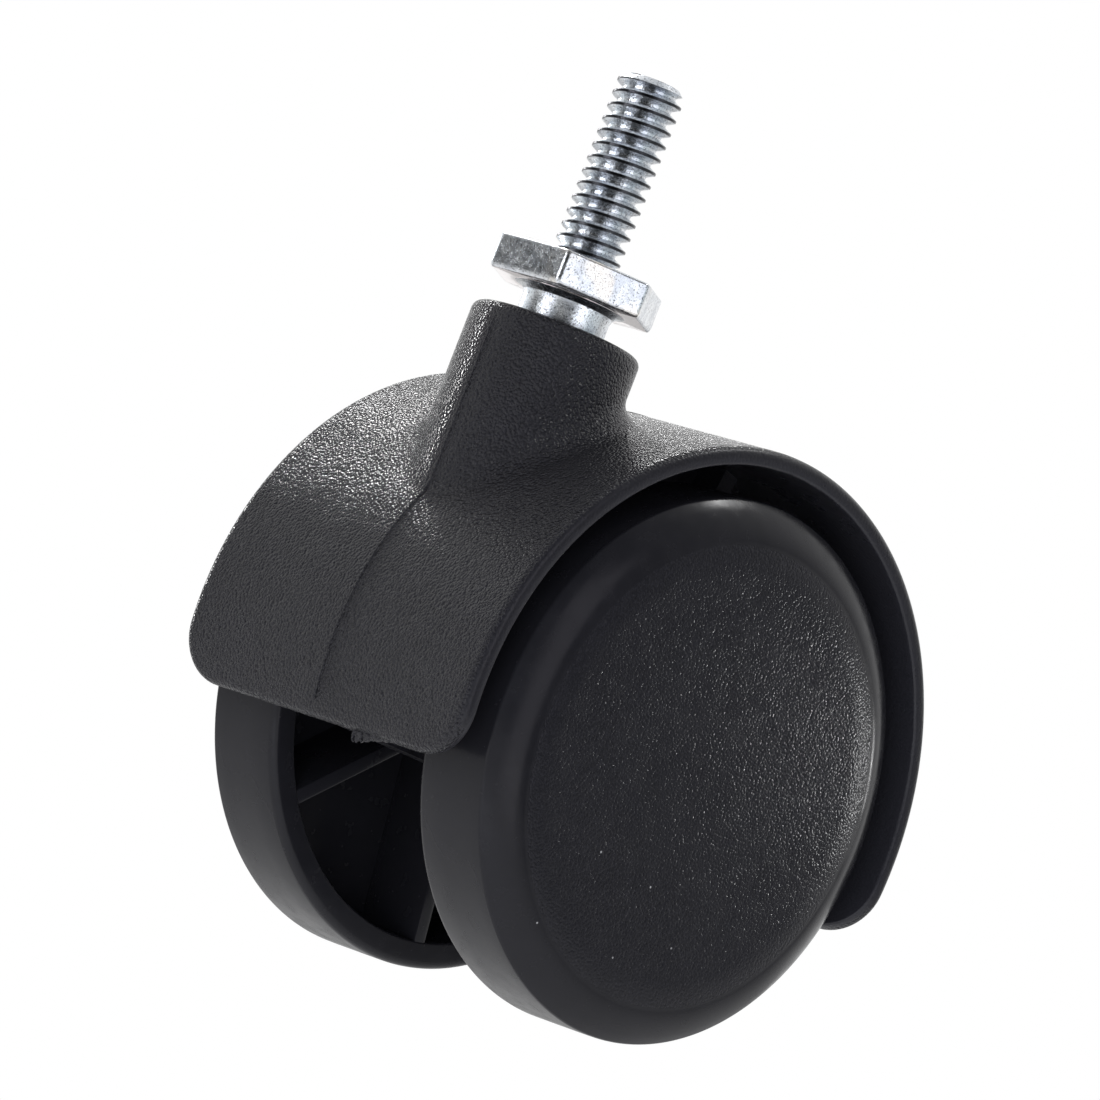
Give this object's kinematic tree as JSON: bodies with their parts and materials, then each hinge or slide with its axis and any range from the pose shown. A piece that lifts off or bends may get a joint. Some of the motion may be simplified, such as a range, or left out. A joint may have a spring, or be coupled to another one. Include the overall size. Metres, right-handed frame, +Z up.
{
  "type": "twin wheel chair caster",
  "caption": "Hooded twin-wheel chair caster on a threaded swivel stem with a hex collar, wheels free on a pin axle behind the stem.",
  "frame": {"origin": "on the stem's axis at the top face of the hex collar, where the chair's leg seats", "axes": "+Z up the threaded stem, Y along the wheels' axle, +X towards the axle, the way the wheels trail"},
  "size_m": [0.0594, 0.0398, 0.0819],
  "materials": {
    "hood_nylon": "black nylon with a fine spark-eroded grain",
    "wheel_nylon": "smooth semi-gloss black nylon, grained on the face disc",
    "bright_zinc": "bright bluish zinc plate on steel",
    "plain_steel": "plain turned or stamped steel",
    "spring_steel": "dark oiled spring steel"
  },
  "bodies": {
    "stem": {"threaded_stem": "bright_zinc", "stem_snap_ring": "spring_steel"},
    "housing": {"hood": "hood_nylon", "thrust_disc": "plain_steel", "axle_pin": "plain_steel", "axle_clip_left": "spring_steel", "axle_clip_right": "spring_steel", "axle_washer_left": "plain_steel", "axle_washer_right": "plain_steel"},
    "left_wheel": {"wheel_left": "wheel_nylon"},
    "right_wheel": {"wheel_right": "wheel_nylon"}
  },
  "joints": [
    {"name": "swivel", "type": "hinge", "parent": "stem", "child": "housing", "pos_m": [0, 0, 0], "axis": [0, 0, 1], "continuous": true},
    {"name": "left_wheel_spin", "type": "hinge", "parent": "housing", "child": "left_wheel", "pos_m": [0.0175, 0, -0.0391], "axis": [0, 1, 0], "continuous": true},
    {"name": "right_wheel_spin", "type": "hinge", "parent": "housing", "child": "right_wheel", "pos_m": [0.0175, 0, -0.0391], "axis": [0, 1, 0], "continuous": true}
  ]
}
